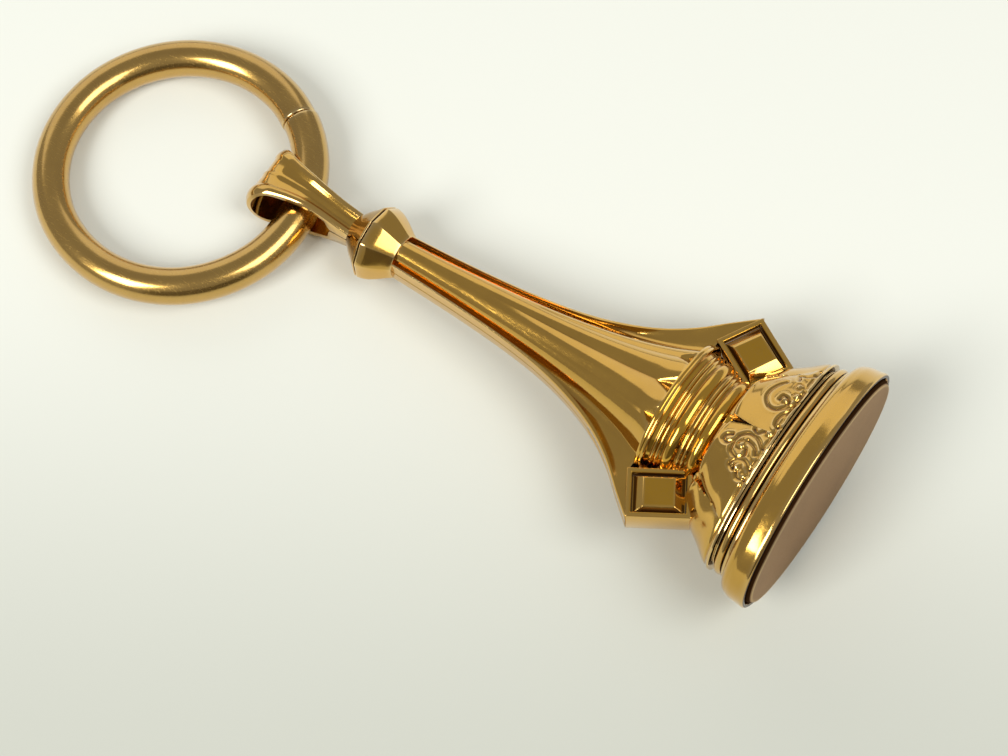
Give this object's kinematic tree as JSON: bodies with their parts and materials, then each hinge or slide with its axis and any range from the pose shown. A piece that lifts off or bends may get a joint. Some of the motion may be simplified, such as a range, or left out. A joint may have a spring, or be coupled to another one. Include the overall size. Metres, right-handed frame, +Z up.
{
  "type": "pocket watch fob",
  "caption": "Seal fob for a pocket watch chain: fluted column with square ears, reeded drum and lobed oval seal foot, hung by a knop and folded bail from a swinging jump ring.",
  "frame": {"origin": "under the middle of the whole fob as it lies on its back, on the surface it rests on", "axes": "+X from the jump ring towards the seal, +Z up from the surface, towards the fob's front, +Y to the fob's right side"},
  "size_m": [0.0526, 0.0193, 0.0101],
  "materials": {
    "body_gold": "worn polished gold-filled metal",
    "ring_gold": "polished gold-filled tube",
    "seal_metal": "satin rosy gold plate",
    "inner_brass": "plain brass inside"
  },
  "bodies": {
    "fob": {"bail": "body_gold", "bail_post": "inner_brass", "knop_upper_cup": "body_gold", "knop_lower_cup": "body_gold", "column_plug": "inner_brass", "column_front_shell": "body_gold", "column_back_shell": "body_gold", "left_ear": "body_gold", "right_ear": "body_gold", "reeded_drum": "body_gold", "foot_bell": "body_gold", "base_moulding": "body_gold", "bead_wire": "body_gold", "bezel_band": "body_gold", "seal_backing": "inner_brass", "seal_plate": "seal_metal"},
    "ring": {"jump_ring": "ring_gold", "ring_joint_peg": "inner_brass"}
  },
  "joints": [
    {"name": "ring_swing", "type": "hinge", "parent": "fob", "child": "ring", "pos_m": [-0.00976, 0.0016, 0.00189], "axis": [-0.284, 0.9588, 0], "range_deg": [-160, 160]}
  ]
}
